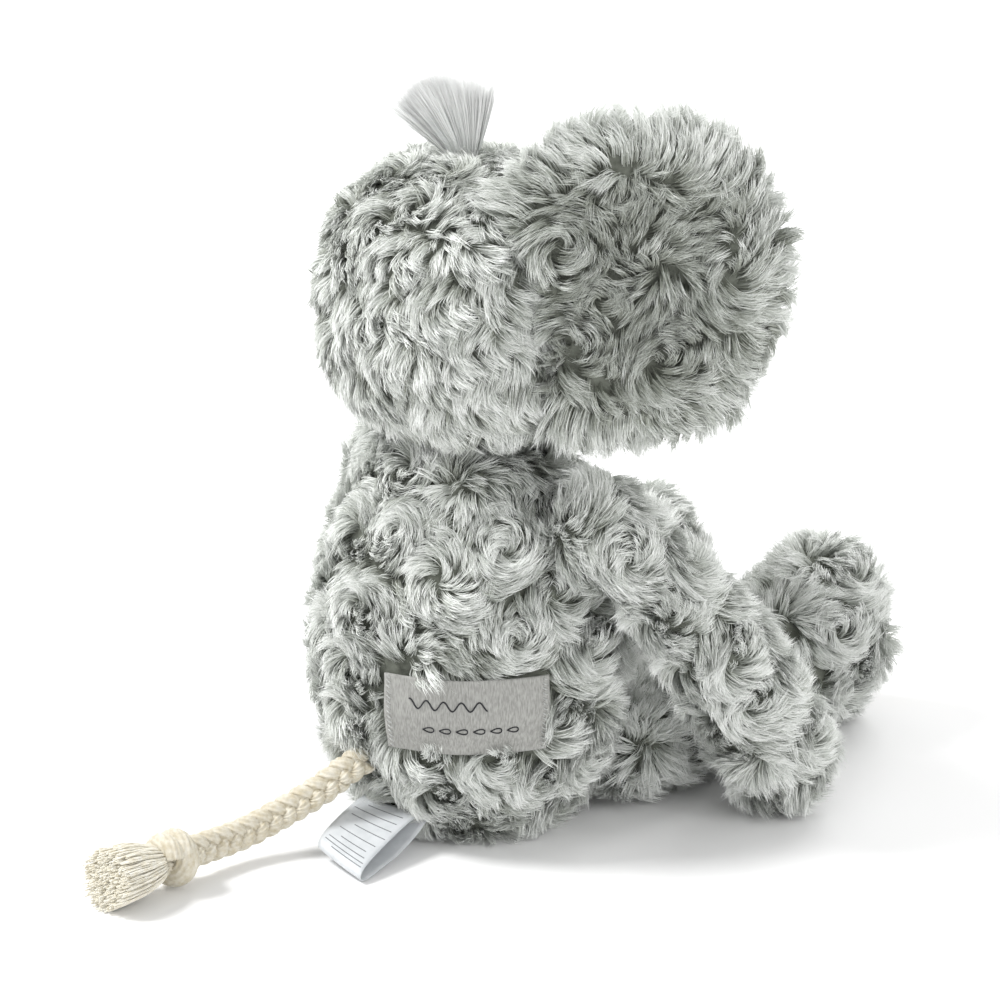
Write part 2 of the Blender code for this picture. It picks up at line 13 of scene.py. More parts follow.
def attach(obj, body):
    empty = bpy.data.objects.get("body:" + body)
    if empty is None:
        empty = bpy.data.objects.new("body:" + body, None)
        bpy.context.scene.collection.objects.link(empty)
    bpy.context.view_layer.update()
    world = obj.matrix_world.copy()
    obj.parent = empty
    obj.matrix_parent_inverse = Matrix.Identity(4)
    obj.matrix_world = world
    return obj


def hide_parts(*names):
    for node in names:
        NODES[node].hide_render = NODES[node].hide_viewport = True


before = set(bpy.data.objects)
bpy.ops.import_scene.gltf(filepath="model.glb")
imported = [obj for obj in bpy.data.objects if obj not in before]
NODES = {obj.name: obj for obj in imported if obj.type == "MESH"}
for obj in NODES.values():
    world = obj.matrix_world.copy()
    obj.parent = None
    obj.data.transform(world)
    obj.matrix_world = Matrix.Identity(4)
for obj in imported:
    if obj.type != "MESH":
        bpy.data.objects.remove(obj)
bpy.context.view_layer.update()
MM = 0.001
UPWARDS = np.array((0.0, 0.0, 1.0))

# ---------------------------------------------------------------- camera
CAMERA_AZIMUTH = math.radians(221.2)
CAMERA_ELEVATION = math.radians(18.6)
CAMERA_DISTANCE = 1.4
CAMERA_TARGET = Vector((0.0, 0.0, 0.110))
CAMERA_LENS = 144.9
CAMERA_SHIFT = (0.0291, 0.0121)


def make_camera():
    """A long lens behind the monkey's right shoulder."""
    data = bpy.data.cameras.new("camera")
    data.lens = CAMERA_LENS
    data.sensor_width = 36.0
    data.shift_x, data.shift_y = CAMERA_SHIFT
    data.clip_end = 20.0
    camera = bpy.data.objects.new("camera", data)
    away = Vector((
        math.sin(CAMERA_AZIMUTH) * math.cos(CAMERA_ELEVATION),
        -math.cos(CAMERA_AZIMUTH) * math.cos(CAMERA_ELEVATION),
        math.sin(CAMERA_ELEVATION)))
    camera.location = CAMERA_TARGET + away * CAMERA_DISTANCE
    camera.rotation_euler = (-away).to_track_quat("-Z", "Y").to_euler()
    bpy.context.scene.collection.objects.link(camera)
    bpy.context.scene.camera = camera


make_camera()


# ---------------------------------------------------------------- materials
def linear(red, green, blue):
    """Linear colour of an sRGB one given from 0 to 255."""
    parts = []
    for value in (red, green, blue):
        share = value / 255.0
        parts.append(share / 12.92 if share <= 0.04045 else ((share + 0.055) / 1.055) ** 2.4)
    return (*parts, 1.0)


def plain_material(name, colour, roughness, sheen=0.0, specular=0.5, coat=0.0):
    mat = bpy.data.materials.new(name)
    mat.use_nodes = True
    shader = mat.node_tree.nodes["Principled BSDF"]
    shader.inputs["Base Color"].default_value = linear(*colour)
    shader.inputs["Roughness"].default_value = roughness
    shader.inputs["Sheen Weight"].default_value = sheen
    shader.inputs["Specular IOR Level"].default_value = specular
    shader.inputs["Coat Weight"].default_value = coat
    mat.diffuse_color = linear(*colour)
    return mat


def object_coordinates(mat, stretch=(1.0, 1.0, 1.0), turn=(0.0, 0.0, 0.0)):
    """Object coordinates, scaled and turned, as a node output."""
    nodes = mat.node_tree.nodes
    links = mat.node_tree.links
    place = nodes.new("ShaderNodeTexCoord")
    mapping = nodes.new("ShaderNodeMapping")
    mapping.inputs["Scale"].default_value = stretch
    mapping.inputs["Rotation"].default_value = turn
    links.new(place.outputs["Object"], mapping.inputs["Vector"])
    return mapping.outputs["Vector"]


def mottle(mat, dark, light, scale, vector, detail=4.0, low=0.3, high=0.7):
    """Base colour that drifts between two tones."""
    nodes = mat.node_tree.nodes
    links = mat.node_tree.links
    noise = nodes.new("ShaderNodeTexNoise")
    noise.inputs["Scale"].default_value = scale
    noise.inputs["Detail"].default_value = detail
    ramp = nodes.new("ShaderNodeValToRGB")
    ramp.color_ramp.elements[0].position = low
    ramp.color_ramp.elements[0].color = linear(*dark)
    ramp.color_ramp.elements[1].position = high
    ramp.color_ramp.elements[1].color = linear(*light)
    links.new(vector, noise.inputs["Vector"])
    links.new(noise.outputs["Fac"], ramp.inputs["Fac"])
    links.new(ramp.outputs["Color"], nodes["Principled BSDF"].inputs["Base Color"])
    return mat


def relief(mat, height, distance, strength=1.0):
    """Bump from a height output."""
    nodes = mat.node_tree.nodes
    links = mat.node_tree.links
    bump = nodes.new("ShaderNodeBump")
    bump.inputs["Strength"].default_value = strength
    bump.inputs["Distance"].default_value = distance
    links.new(height, bump.inputs["Height"])
    links.new(bump.outputs["Normal"], nodes["Principled BSDF"].inputs["Normal"])
    return mat


def noise_height(mat, scale, vector, detail=6.0):
    node = mat.node_tree.nodes.new("ShaderNodeTexNoise")
    node.inputs["Scale"].default_value = scale
    node.inputs["Detail"].default_value = detail
    mat.node_tree.links.new(vector, node.inputs["Vector"])
    return node.outputs["Fac"]


def wave_height(mat, scale, vector, distortion):
    node = mat.node_tree.nodes.new("ShaderNodeTexWave")
    node.inputs["Scale"].default_value = scale
    node.inputs["Distortion"].default_value = distortion
    mat.node_tree.links.new(vector, node.inputs["Vector"])
    return node.outputs["Fac"]


def fibre_cloth(name, dark, light, scale, roughness=0.9, sheen=0.0, depth=0.0004):
    """Fibrous cloth: drifting tone and a fine felted bump."""
    mat = plain_material(name, light, roughness, sheen)
    vector = object_coordinates(mat)
    mottle(mat, dark, light, scale, vector)
    return relief(mat, noise_height(mat, scale * 6.0, vector), depth, 0.6)


# Tones of each fibre, from painted shade at the roots to the lightest tips.
PILE_TONES = (
    (108, 112, 101), (152, 156, 146), (190, 194, 187), (220, 223, 218), (240, 242, 239))
IVORY_TONES = ((204, 198, 184), (216, 211, 199), (225, 221, 211), (232, 229, 220), (238, 236, 229))
HAIR_TONES = ((228, 231, 229), (238, 240, 239), (245, 246, 245), (249, 250, 249), (252, 252, 252))



def toned(name, tones, roughness, sheen, specular):
    """One material for each tone of a fibre."""
    return [
        plain_material(f"{name}_{i}", tone, roughness, sheen, specular)
        for i, tone in enumerate(tones)]


PILE = toned("plush_pile", PILE_TONES, 0.55, 0.3, 0.4)
IVORY = toned("ivory_pile", IVORY_TONES, 0.7, 0.25, 0.3)
HAIR = toned("tuft_hair", HAIR_TONES, 0.42, 0.1, 0.5)

# Backing cloth, darkened to grey-green as painted shade for the gaps between the locks.
BACKING_WITH_PAINTED_SHADE = fibre_cloth("plush_backing_painted_shade", (80, 83, 74), (124, 128, 118), 260.0)
IVORY_CLOTH = fibre_cloth("ivory_backing", (190, 182, 164), (226, 220, 206), 300.0, 0.9, 0.2)
STUFFING = fibre_cloth("stuffing_fibre", (214, 214, 208), (240, 240, 236), 180.0)
PELLET_CLOTH = fibre_cloth("pellet_cloth", (188, 188, 180), (214, 214, 208), 900.0)


# ---------------------------------------------------------------- mesh making
def link_mesh(name, mesh, body, materials):
    ob = bpy.data.objects.new(name, mesh)
    bpy.context.scene.collection.objects.link(ob)
    for mat in materials:
        mesh.materials.append(mat)
    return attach(ob, body)


def array_mesh(name, points, corners, starts, slots=None):
    """Smooth mesh from arrays of points, face corners, first corners and material slots."""
    mesh = bpy.data.meshes.new(name)
    mesh.vertices.add(len(points))
    mesh.vertices.foreach_set("co", np.ascontiguousarray(points, np.float32).ravel())
    mesh.loops.add(len(corners))
    mesh.loops.foreach_set("vertex_index", np.ascontiguousarray(corners, np.int32))
    mesh.polygons.add(len(starts))
    mesh.polygons.foreach_set("loop_start", np.ascontiguousarray(starts, np.int32))
    if slots is not None:
        mesh.polygons.foreach_set("material_index", np.ascontiguousarray(slots, np.int32))
    mesh.polygons.foreach_set("use_smooth", np.ones(len(starts), bool))
    mesh.update(calc_edges=True)
    return mesh


def quad_piece(name, points, quads, body, material):
    """A smooth piece of quads that rides on a body."""
    quads = np.asarray(quads, np.int32)
    mesh = array_mesh(name, np.asarray(points), quads.ravel(), np.arange(len(quads)) * 4)
    return link_mesh(name, mesh, body, [material])


def grid_quads(rows, cols):
    """Quads between the points of a grid, row after row."""
    return [
        (r * cols + c, r * cols + c + 1, (r + 1) * cols + c + 1, (r + 1) * cols + c)
        for r in range(rows - 1) for c in range(cols - 1)]


def ring_quads(rings, around):
    """Quads between rings of points."""
    quads = []
    for i in range(rings - 1):
        for k in range(around):
            m = (k + 1) % around
            quads.append((
                i * around + k, i * around + m, (i + 1) * around + m, (i + 1) * around + k))
    return quads


def thicken(piece, thickness, offset):
    """Give a sheet its cloth's thickness."""
    cloth = piece.modifiers.new("cloth", "SOLIDIFY")
    cloth.thickness = thickness
    cloth.offset = offset


def unit(vectors):
    size = np.linalg.norm(vectors, axis=-1, keepdims=True)
    return vectors / np.maximum(size, 1e-12)


DRIFT_WAVES = 7


def drift(points, wavelength, seed):
    """Smooth value between about -1 and 1 that changes over one wavelength."""
    rng = np.random.default_rng(seed)
    total = np.zeros(len(points))
    for _ in range(DRIFT_WAVES):
        heading = unit(rng.normal(size=3))
        phase = rng.random() * 6.283
        total += np.sin(points @ heading * (2.0 * math.pi / wavelength) + phase)
    return total / math.sqrt(DRIFT_WAVES)


# ---------------------------------------------------------------- plush surfaces
SEEN_REACH = 0.3            # a skin's inner side meets its own far wall within this
COVER_GAP = 1.2 * MM        # pile doesn't grow where another piece lies this close
MERGE = 1e-5                # corners this close are one
OWN_STEP = 2e-5             # a ray starts this far off the skin, to miss its own face
ROOM_STEP = 3e-5            # and this far off, to look for other pieces


def welded(node):
    """Points and triangles of a CAD node, with shared corners."""
    mesh = NODES[node].data
    mesh.calc_loop_triangles()
    points = np.empty(len(mesh.vertices) * 3)
    mesh.vertices.foreach_get("co", points)
    corners = np.empty(len(mesh.loop_triangles) * 3, np.int32)
    mesh.loop_triangles.foreach_get("vertices", corners)
    grid = np.round(points.reshape(-1, 3) / MERGE).astype(np.int64)
    _, first, back = np.unique(grid, axis=0, return_index=True, return_inverse=True)
    tris = back.ravel()[corners].reshape(-1, 3)
    spread = (tris[:, 0] != tris[:, 1]) & (tris[:, 1] != tris[:, 2]) & (tris[:, 0] != tris[:, 2])
    return points.reshape(-1, 3)[first], tris[spread]


SOLIDS = {name: welded(name) for name in NODES}
TREES = {
    name: BVHTree.FromPolygons(points.tolist(), tris.tolist())
    for name, (points, tris) in SOLIDS.items()}


def open_skin(node):
    """The side of a CAD skin that faces out: points, triangles and corner normals."""
    points, tris = SOLIDS[node]
    a, b, c = (points[tris[:, i]] for i in range(3))
    area = np.cross(b - a, c - a)
    facing = unit(area)
    centre = (a + b + c) / 3.0
    keep = []
    for middle, normal in zip(centre, facing):
        start = Vector(middle) + Vector(normal) * OWN_STEP
        keep.append(TREES[node].ray_cast(start, Vector(normal), SEEN_REACH)[0] is None)
    tris = tris[np.array(keep)]
    normals = np.zeros_like(points)
    for i in range(3):
        np.add.at(normals, tris[:, i], area[np.array(keep)])
    return points, tris, unit(normals)


def scatter(points, tris, normals, count, rng):
    """Evenly spread places on the triangles, with smooth normals."""
    a, b, c = (points[tris[:, i]] for i in range(3))
    size = np.linalg.norm(np.cross(b - a, c - a), axis=1) / 2.0
    total = np.cumsum(size)
    pick = np.searchsorted(total, (np.arange(count) + rng.random(count)) / count * total[-1])
    pick = np.minimum(pick, len(tris) - 1)
    u, v = rng.random(count), rng.random(count)
    flip = u + v > 1.0
    u[flip], v[flip] = 1.0 - u[flip], 1.0 - v[flip]
    w = 1.0 - u - v
    chosen = tris[pick]
    mix = [share[:, None] for share in (w, u, v)]
    places = sum(points[chosen[:, i]] * mix[i] for i in range(3))
    facing = sum(normals[chosen[:, i]] * mix[i] for i in range(3))
    return places, unit(facing), total[-1]


def free_room(node, places, facing, reach):
    """How far the pile can stand at each place before it meets another CAD piece."""
    others = [tree for name, tree in TREES.items() if name != node and name not in HAIRY]
    room = np.full(len(places), reach)
    for i, (place, normal) in enumerate(zip(places, facing)):
        start = Vector(place) + Vector(normal) * ROOM_STEP
        ray = Vector(normal)
        for tree in others:
            hit = tree.ray_cast(start, ray, reach)
            if hit[0] is not None:
                room[i] = min(room[i], hit[3])
    return room


HAIRY = {"hair_tuft", "care_label", "tail_rope", "tail_knot", "tail_tassel"}


def rosette_centres(places, spacing):
    """Places at least one spacing apart that cover the surface."""
    chosen = [0]
    gap = np.linalg.norm(places - places[0], axis=1)
    while gap.max() > spacing:
        pick = int(gap.argmax())
        chosen.append(pick)
        gap = np.minimum(gap, np.linalg.norm(places - places[pick], axis=1))
    return places[chosen]


ROWS_AT_ONCE = 4000         # keeps the table of distances small


def swirls(places, facing, centres, spins, nap, nap_share):
    """Lie of the pile around its nearest rosette, and the distance from that rosette."""
    lie = np.empty_like(places)
    far = np.empty(len(places))
    for low in range(0, len(places), ROWS_AT_ONCE):
        rows = slice(low, low + ROWS_AT_ONCE)
        apart = places[rows, None] - centres[None]
        distance = np.linalg.norm(apart, axis=2)
        near = distance.argmin(axis=1)
        out = apart[np.arange(len(near)), near]
        normal = facing[rows]
        out = unit(out - normal * (out * normal).sum(1, keepdims=True))
        turn = spins[near][:, None]
        lie[rows] = out * np.cos(turn) + np.cross(normal, out) * np.sin(turn)
        far[rows] = distance[np.arange(len(near)), near]
    fall = nap - facing * (nap * facing).sum(1, keepdims=True)
    return unit(lie + fall * nap_share), far


LOCK_STEPS = 3


def lock_paths(places, facing, lie, length, lean, curl):
    """Four points of each lock's line as it rises, arches over and curls."""
    side = np.cross(facing, lie)
    path = [places]
    for step in range(LOCK_STEPS):
        share = (step + 0.5) / LOCK_STEPS
        tilt = lean[0] + (lean[1] - lean[0]) * share
        bend = curl * share
        heading = lie * np.cos(bend)[:, None] + side * np.sin(bend)[:, None]
        heading = facing * np.cos(tilt)[:, None] + heading * np.sin(tilt)[:, None]
        path.append(path[-1] + heading * (length / LOCK_STEPS)[:, None])
    return np.stack(path, axis=1), side


def strand_points(paths, lie, side, style, rng):
    """Strands of every lock: (lock, strand, 4, 3)."""
    count, per_lock = len(paths), style["strands"]
    angle = rng.random((count, per_lock)) * 2.0 * math.pi
    reach = style["spread"] * np.sqrt(rng.random((count, per_lock)))
    offset = (
        lie[:, None] * (reach * np.cos(angle))[..., None]
        + side[:, None] * (reach * np.sin(angle))[..., None])
    stretch = 0.72 + 0.4 * rng.random((count, per_lock))
    root = paths[:, None, :1]
    grown = root + (paths[:, None] - root) * stretch[..., None, None]
    share = np.linspace(0.0, 1.0, LOCK_STEPS + 1)
    close = 1.0 + (style["meet"] - 1.0) * share
    stray = rng.normal(size=(count, per_lock, 3)) * style["jitter"]
    return (
        grown + offset[:, :, None] * close[None, None, :, None]
        + stray[:, :, None] * (share ** 1.6)[None, None, :, None])


STRAND_CORNERS = np.array((0, 1, 3, 2, 2, 3, 5, 4, 4, 5, 6))     # two quads and a triangle
STRAND_STARTS = np.array((0, 4, 8))
STRAND_POINTS = 7


def ribbon_mesh(name, strands, across, width, tones):
    """One tapering ribbon of three faces for each strand."""
    count = len(strands)
    half = across * (width / 2.0)[:, None]
    points = np.empty((count, STRAND_POINTS, 3))
    for row, share in enumerate((1.0, 1.0, 0.85)):
        points[:, row * 2] = strands[:, row] - half * share
        points[:, row * 2 + 1] = strands[:, row] + half * share
    points[:, 6] = strands[:, 3]
    base = np.arange(count)[:, None]
    corners = (STRAND_CORNERS[None] + base * STRAND_POINTS).ravel()
    starts = (STRAND_STARTS[None] + base * len(STRAND_CORNERS)).ravel()
    # Each face takes the next lighter tone, so each strand's root face carries painted shade.
    slots = (tones[:, None] + np.arange(3)[None]).ravel()
    return array_mesh(name, points.reshape(-1, 3), corners, starts, slots)


FLOOR_CLEARANCE = 0.35 * MM
FLOOR_DEPTH = 0.9 * MM      # strands on the floor lie in a layer this deep
MOST_STRANDS = 38000        # in one piece
HANDS = (1.0, 1.0, 1.0, 1.0, 1.0, -1.0)     # most rosettes turn the same way
SQUARE_MM = 1e6             # in a square metre
CENTRE_SAMPLE = 5000        # places that the rosettes are chosen from
CENTRE_WANDER = 0.12        # this and the next two are shares of the rosettes' spacing
HEART_REACH = 0.15
CREST_REACH = 0.36
VEER = 0.4                  # radians that a rosette's lie strays
VEER_WAVE = 34.0 * MM
LENGTH_WAVE = 21.0 * MM
TONE_WAVE = 12.0 * MM
ROOM_SHARE = 0.55           # of a lock's length that gives way to a neighbour
MOST_TWIST = 0.65           # radians that a ribbon turns about its strand
DARKEST, MIDDLE = -0.6, 0.45    # below these a strand takes the first or second tone


def press_on_floor(strands, rng):
    """Pile under the monkey lies flat on the floor."""
    low = FLOOR_CLEARANCE + rng.random(strands.shape[:-1]) * FLOOR_DEPTH
    strands[..., 2] = np.maximum(strands[..., 2], low)
    return strands


def lock_roots(node, style, rng):
    """Places of the locks on a skin's outer side, their normals and the room over them."""
    points, tris, normals = open_skin(node)
    area = scatter(points, tris, normals, 3, rng)[2]
    count = int(area * SQUARE_MM * style["locks"])
    places, facing, _ = scatter(points, tris, normals, count, rng)
    room = free_room(node, places, facing, style["length"])
    open_air = room > COVER_GAP
    return places[open_air], facing[open_air], room[open_air]


def rosette_lie(places, facing, style, seed, rng):
    """Lie of the pile, and how near each place is to a rosette's crest and heart."""
    sample = places[rng.permutation(len(places))[:CENTRE_SAMPLE]]
    centres = rosette_centres(sample, style["rosette"])
    centres = centres + rng.normal(size=centres.shape) * style["rosette"] * CENTRE_WANDER
    spins = rng.uniform(*style["spin"], len(centres)) * rng.choice(HANDS, len(centres))
    lie, far = swirls(places, facing, centres, spins, style["nap"], style["nap_share"])
    veer = VEER * drift(places, VEER_WAVE, seed + 4)[:, None]
    lie = lie * np.cos(veer) + np.cross(facing, lie) * np.sin(veer)
    far = far / style["rosette"]
    heart = np.clip(1.0 - far / HEART_REACH, 0.0, 1.0)
    tuft = rng.normal(size=places.shape)
    tuft = unit(tuft - facing * (tuft * facing).sum(1, keepdims=True))
    lie = unit(lie * (1.0 - heart)[:, None] + tuft * heart[:, None])
    crest = np.clip(1.0 - np.abs(far - CREST_REACH) / CREST_REACH, 0.0, 1.0)
    return lie, crest, heart


def lock_shapes(places, crest, heart, style, seed, rng):
    """Length of each lock, its first and last tilt from the normal, and its curl."""
    length = style["length"] * (0.7 + 0.42 * crest) * rng.uniform(0.85, 1.12, len(places))
    length *= 1.0 + 0.14 * drift(places, LENGTH_WAVE, seed + 1)
    stand = np.clip(style["stand"] * (0.75 + 0.5 * crest), 0.0, 1.0)
    first = np.radians(62.0 - 46.0 * stand)
    last = np.radians(104.0 - 34.0 * stand) + rng.normal(size=len(places)) * 0.12
    curl = style["curl"] * (0.5 + rng.random(len(places)))
    return length, (first * (1.0 - 0.7 * heart), last * (1.0 - 0.45 * heart)), curl


def strand_tones(places, crest, style, shape, seed, painted_light, rng):
    """First of the three tones that each strand runs through."""
    # Random drift mottles the pile. Rosette crests are made lighter as painted highlight, and their
    # hearts and edges darker as painted shade; the style's tone and the rim's painted light shift a
    # whole part or an ear's rim as painted light.
    tone_with_painted_light = 0.8 * drift(places, TONE_WAVE, seed + 2) + 1.2 * (crest - 0.5) + style["tone"]
    if painted_light is not None:
        tone_with_painted_light = tone_with_painted_light + painted_light(places)
    lift = tone_with_painted_light[:, None] + rng.normal(size=shape) * 0.55
    return np.where(lift < DARKEST, 0, np.where(lift < MIDDLE, 1, 2))


def grow_pile(name, body, node, style, seed, shape=None, trim=None, painted_light=None):
    """Long or short pile over the open side of a CAD skin, as ribbon meshes."""
    rng = np.random.default_rng(seed)
    places, facing, room = lock_roots(node, style, rng)
    lie, crest, heart = rosette_lie(places, facing, style, seed, rng)
    length, lean, curl = lock_shapes(places, crest, heart, style, seed, rng)
    if shape is not None:
        lie, length = shape(places, facing, lie, length)
    length = np.minimum(length, ROOM_SHARE * room + (1.0 - ROOM_SHARE) * style["length"])
    roots = places - facing * style["sunk"]
    paths, side = lock_paths(roots, facing, lie, length, lean, curl)
    strands = press_on_floor(strand_points(paths, lie, side, style, rng), rng)
    keep = np.ones(strands.shape[:2], bool) if trim is None else trim(strands)
    twist = rng.uniform(-MOST_TWIST, MOST_TWIST, strands.shape[:2])
    across = (
        side[:, None] * np.cos(twist)[..., None] + facing[:, None] * np.sin(twist)[..., None])
    tones = strand_tones(places, crest, style, strands.shape[:2], seed, painted_light, rng)
    width = style["width"] * rng.uniform(0.75, 1.25, strands.shape[:2])
    strands, across, tones, width = strands[keep], across[keep], tones[keep], width[keep]
    pieces = math.ceil(len(strands) / MOST_STRANDS)
    for part in range(pieces):
        rows = slice(part, None, pieces)
        label = name if pieces == 1 else f"{name}_{part + 1}"
        mesh = ribbon_mesh(label, strands[rows], across[rows], width[rows], tones[rows])
        link_mesh(label, mesh, body, style["materials"])


BACKING_INSET = 1.5 * MM
LINING_INSET = 0.2 * MM
BACKING_THICKNESS = 0.8 * MM


def backing(name, body, node, material, inset=BACKING_INSET):
    """The sewn cloth that the pile grows from, just under the CAD surface."""
    points, tris, normals = open_skin(node)
    used, again = np.unique(tris, return_inverse=True)
    inside = points[used] - normals[used] * inset
    mesh = bpy.data.meshes.new(name)
    mesh.from_pydata(inside.tolist(), [], again.reshape(-1, 3).tolist())
    for polygon in mesh.polygons:
        polygon.use_smooth = True
    ob = link_mesh(name, mesh, body, [material])
    thicken(ob, BACKING_THICKNESS, -1.0)
    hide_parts(node)


DOWN = -UPWARDS
LONG_PILE = {
    "length": 11.6 * MM, "locks": 0.18, "strands": 16, "spread": 1.8 * MM, "jitter": 0.6 * MM,
    "meet": 0.55, "width": 0.31 * MM, "rosette": 18.0 * MM, "spin": (1.05, 1.5), "nap": DOWN,
    "nap_share": 0.28, "stand": 0.7, "curl": 1.0, "sunk": 1.4 * MM, "tone": 0.7,
    "slot": "plush_grey", "materials": PILE}
SHORT_PILE = {
    "length": 3.2 * MM, "locks": 0.30, "strands": 10, "spread": 1.5 * MM, "jitter": 0.35 * MM,
    "meet": 1.0, "width": 0.34 * MM, "rosette": 60.0 * MM, "spin": (0.1, 0.3), "nap": DOWN,
    "nap_share": 2.0, "stand": 0.75, "curl": 0.2, "sunk": 0.3 * MM, "tone": 0.3,
    "slot": "plush_ivory", "materials": IVORY}

# ---------------------------------------------------------------- torso
PATCH_AZIMUTH = math.radians(39.5)
PATCH_OUT = np.array((-math.sin(PATCH_AZIMUTH), math.cos(PATCH_AZIMUTH), 0.0))
PATCH_ACROSS = np.array((math.cos(PATCH_AZIMUTH), math.sin(PATCH_AZIMUTH), 0.0))
PATCH_HALF = (28.0 * MM, 13.8 * MM)
PATCH_Z = 54.8 * MM
PATCH_SIDE_CLEAR = 1.0 * MM
PATCH_EDGE_COVER = 4.0 * MM


def off_patch(strands):
    """Keep the strands whose tips don't hide the middle of the patch."""
    tip = strands[:, :, 2:].mean(axis=2)
    over = np.abs(tip @ PATCH_ACROSS) < PATCH_HALF[0] - PATCH_SIDE_CLEAR
    level = np.abs(tip[..., 2] - PATCH_Z) < PATCH_HALF[1] - PATCH_EDGE_COVER
    return ~(over & level & (tip @ PATCH_OUT > 0.0))


backing("torso_cloth", "torso", "torso_skin", BACKING_WITH_PAINTED_SHADE)
grow_pile("torso_pile", "torso", "torso_skin", LONG_PILE, 11, trim=off_patch)

# ---------------------------------------------------------------- head
HEAD_CENTRE = np.array((0.0, 0.0, 188.0)) * MM
SEAM_HALF = 1.6 * MM
NECK_DROP = 40.0 * MM       # below the centre, where the pile hangs longest
# The head's tone is set below the torso's, so its pile is painted darker as painted shade.
HEAD_PILE = dict(
    LONG_PILE, locks=0.2, length=10.4 * MM, rosette=14.5 * MM, nap_share=1.25, stand=0.6,
    curl=0.65, tone=0.15)


def head_lie(places, facing, lie, length):
    """Parted at the back seam, longer and hanging over the neck."""
    back = places[:, 1] > 0.0
    part = back & (np.abs(places[:, 0]) < SEAM_HALF)
    length = np.where(part, length * 0.5, length)
    low = np.clip((HEAD_CENTRE[2] - places[:, 2]) / NECK_DROP, 0.0, 1.0)
    drop = DOWN - facing * (facing @ DOWN)[:, None]
    return unit(lie + drop * (low * 1.2)[:, None]), length * (1.0 + 0.3 * low)


backing("head_cloth", "head", "head_skin", BACKING_WITH_PAINTED_SHADE)
grow_pile("head_pile", "head", "head_skin", HEAD_PILE, 23, shape=head_lie)

# ---------------------------------------------------------------- ears
# The ears' low tone darkens their pile as painted shade.
EAR_PILE = dict(
    LONG_PILE, locks=0.155, rosette=19.5 * MM, nap_share=0.0, stand=0.8, tone=-1.05)
EAR_REACH = 50.0 * MM
RIM_START, RIM_BAND = 0.62, 0.3     # shares of the ear's reach
# The ear's rim is made lighter as painted backlight.
RIM_PAINTED_LIGHT = 1.5


def ear_pile_shape(centre):
    """Pile near the rim points outwards from the disc's centre, and is made lighter there as
    painted backlight.
    """
    middle = np.array(centre) * MM

    def near_rim(places):
        far = np.linalg.norm(places - middle, axis=1) / EAR_REACH
        return np.clip((far - RIM_START) / RIM_BAND, 0.0, 1.0)

    def shape(places, facing, lie, length):
        out = places - middle
        rim = near_rim(places)
        out = unit(out - facing * (out * facing).sum(1, keepdims=True))
        lie = unit(lie * (1.0 - 0.75 * rim)[:, None] + out * rim[:, None])
        return lie, length * (1.0 + 0.12 * rim)

    def painted_light(places):
        return RIM_PAINTED_LIGHT * near_rim(places)

    return shape, painted_light


for label, centre, seed, pile_length in (
        ("right", (-62.6, -10.0, 201.5), 33, 13.2 * MM),
        ("left", (47.9, -28.4, 181.1), 32, 9.5 * MM)):
    body = "ear_" + label
    node = "ear_back_" + label
    backing("ear_cloth_" + label, body, node, BACKING_WITH_PAINTED_SHADE)
    style = dict(EAR_PILE, length=pile_length)
    rim_shape, rim_painted_light = ear_pile_shape(centre)
    grow_pile(
        "ear_pile_" + label, body, node, style, seed, shape=rim_shape, painted_light=rim_painted_light)
    lining = "ear_lining_" + label
    backing("ear_lining_cloth_" + label, body, lining, IVORY_CLOTH, LINING_INSET)
    grow_pile("ear_lining_pile_" + label, body, lining, SHORT_PILE, seed + 6)

# ---------------------------------------------------------------- arms and legs
ARM_NAP = {"right": unit(np.array((-0.3, -0.55, -0.8))), "left": unit(np.array((0.3, -0.55, -0.8)))}
LEG_NAP = np.array((0.0, -1.0, 0.1))
for label, seed in (("right", 41), ("left", 47)):
    # The arms' tone, above the torso's, makes their pile lighter as painted light.
    arm_style = dict(
        LONG_PILE, locks=0.2, nap=ARM_NAP[label], nap_share=0.5, rosette=17.5 * MM, tone=0.9)
    backing("arm_cloth_" + label, "arm_" + label, "arm_skin_" + label, BACKING_WITH_PAINTED_SHADE)
    grow_pile("arm_pile_" + label, "arm_" + label, "arm_skin_" + label, arm_style, seed)
    # The legs' high tone makes their pile much lighter as painted light.
    leg_style = dict(
        LONG_PILE, nap=LEG_NAP, nap_share=0.35, rosette=19.0 * MM, tone=1.7)
    backing("leg_cloth_" + label, "leg_" + label, "leg_skin_" + label, BACKING_WITH_PAINTED_SHADE)
    grow_pile("leg_pile_" + label, "leg_" + label, "leg_skin_" + label, leg_style, seed + 3)
    backing(
        "sole_cloth_" + label, "leg_" + label, "sole_" + label, IVORY_CLOTH,
        LINING_INSET)
    grow_pile("sole_pile_" + label, "leg_" + label, "sole_" + label, SHORT_PILE, seed + 5)

# ---------------------------------------------------------------- face
backing("face_cloth", "head", "face_panel", IVORY_CLOTH, LINING_INSET)
grow_pile("face_pile", "head", "face_panel", SHORT_PILE, 61)
backing("muzzle_cloth", "head", "muzzle", IVORY_CLOTH, LINING_INSET)
grow_pile("muzzle_pile", "head", "muzzle", SHORT_PILE, 67)


# ---------------------------------------------------------------- tubes
def spline_through(points, per_span):
    """Catmull-Rom curve through the points."""
    points = np.asarray(points, float)
    ends = np.vstack((points[0] * 2.0 - points[1], points, points[-1] * 2.0 - points[-2]))
    rows = []
    for i in range(1, len(ends) - 2):
        a, b, c, d = ends[i - 1:i + 3]
        for k in range(per_span):
            t = k / per_span
            rows.append(0.5 * (
                b * 2.0 + (c - a) * t + (a * 2.0 - b * 5.0 + c * 4.0 - d) * t ** 2
                + (b * 3.0 - a - c * 3.0 + d) * t ** 3))
    rows.append(points[-1])
    return np.array(rows)


